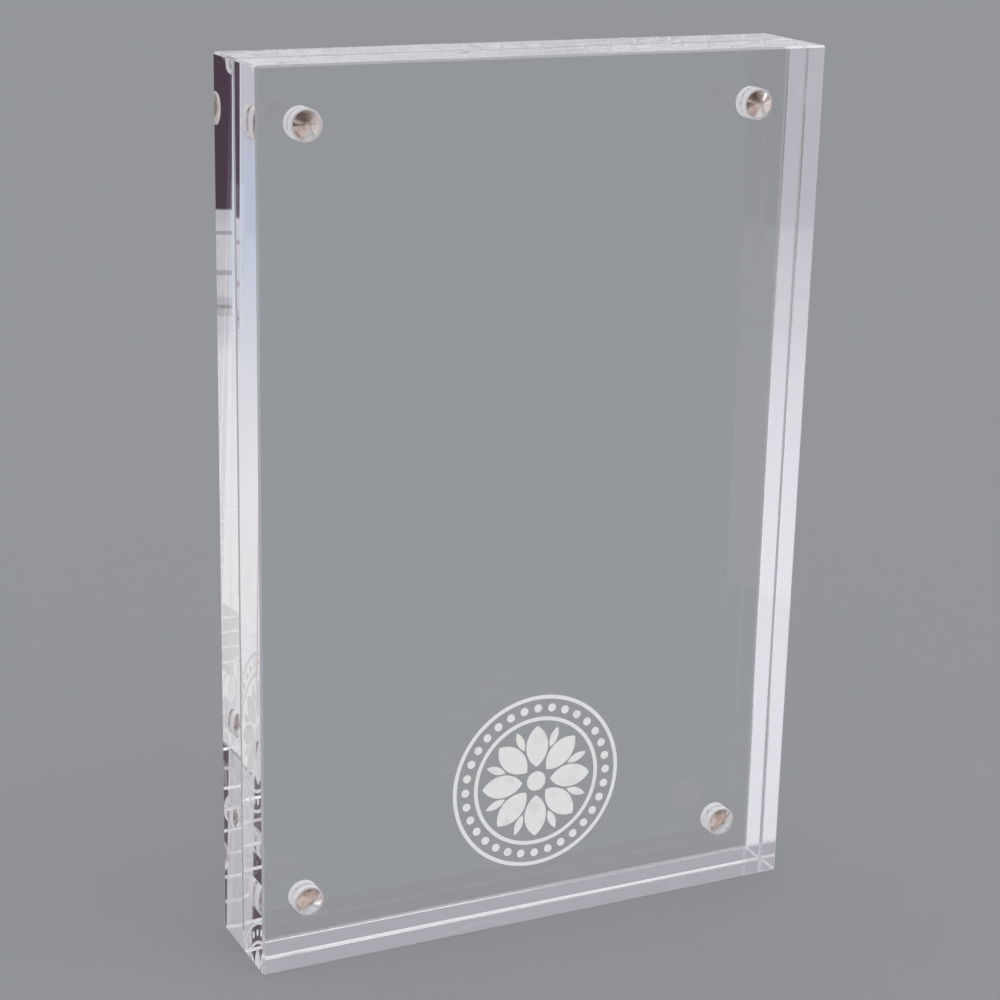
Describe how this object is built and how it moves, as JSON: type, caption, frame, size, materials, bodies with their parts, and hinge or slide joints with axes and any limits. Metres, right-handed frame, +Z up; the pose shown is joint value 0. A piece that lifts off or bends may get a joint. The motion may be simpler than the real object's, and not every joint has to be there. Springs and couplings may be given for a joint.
{
  "type": "acrylic block frame",
  "caption": "Free-standing clear acrylic block frame: two thick polished plates that magnets in their corners hold face to face around a print.",
  "frame": {"origin": "middle of the base, in the plane where the magnets of the two plates meet", "axes": "+Z up along the height, +X to the right along the width as seen from the front, -Y out of the front face, which carries the ornament"},
  "size_m": [0.1016, 0.0192, 0.1524],
  "materials": {
    "clear_acrylic": "polished",
    "nickel_plate": "satin",
    "adhesive": "satin",
    "white_ink": "satin"
  },
  "bodies": {
    "rear": {"rear_plate": "clear_acrylic", "rear_magnet_top_left": "nickel_plate", "rear_magnet_top_right": "nickel_plate", "rear_magnet_bottom_left": "nickel_plate", "rear_magnet_bottom_right": "nickel_plate", "rear_glue_top_left": "adhesive", "rear_glue_top_right": "adhesive", "rear_glue_bottom_left": "adhesive", "rear_glue_bottom_right": "adhesive"},
    "front": {"front_plate": "clear_acrylic", "front_magnet_top_left": "nickel_plate", "front_magnet_top_right": "nickel_plate", "front_magnet_bottom_left": "nickel_plate", "front_magnet_bottom_right": "nickel_plate", "front_glue_top_left": "adhesive", "front_glue_top_right": "adhesive", "front_glue_bottom_left": "adhesive", "front_glue_bottom_right": "adhesive", "printed_ornament": "white_ink"}
  },
  "joints": [
    {"name": "front_pull_off", "type": "slide", "parent": "rear", "child": "front", "axis": [0, -1, 0], "range_m": [0, 0.06]}
  ]
}
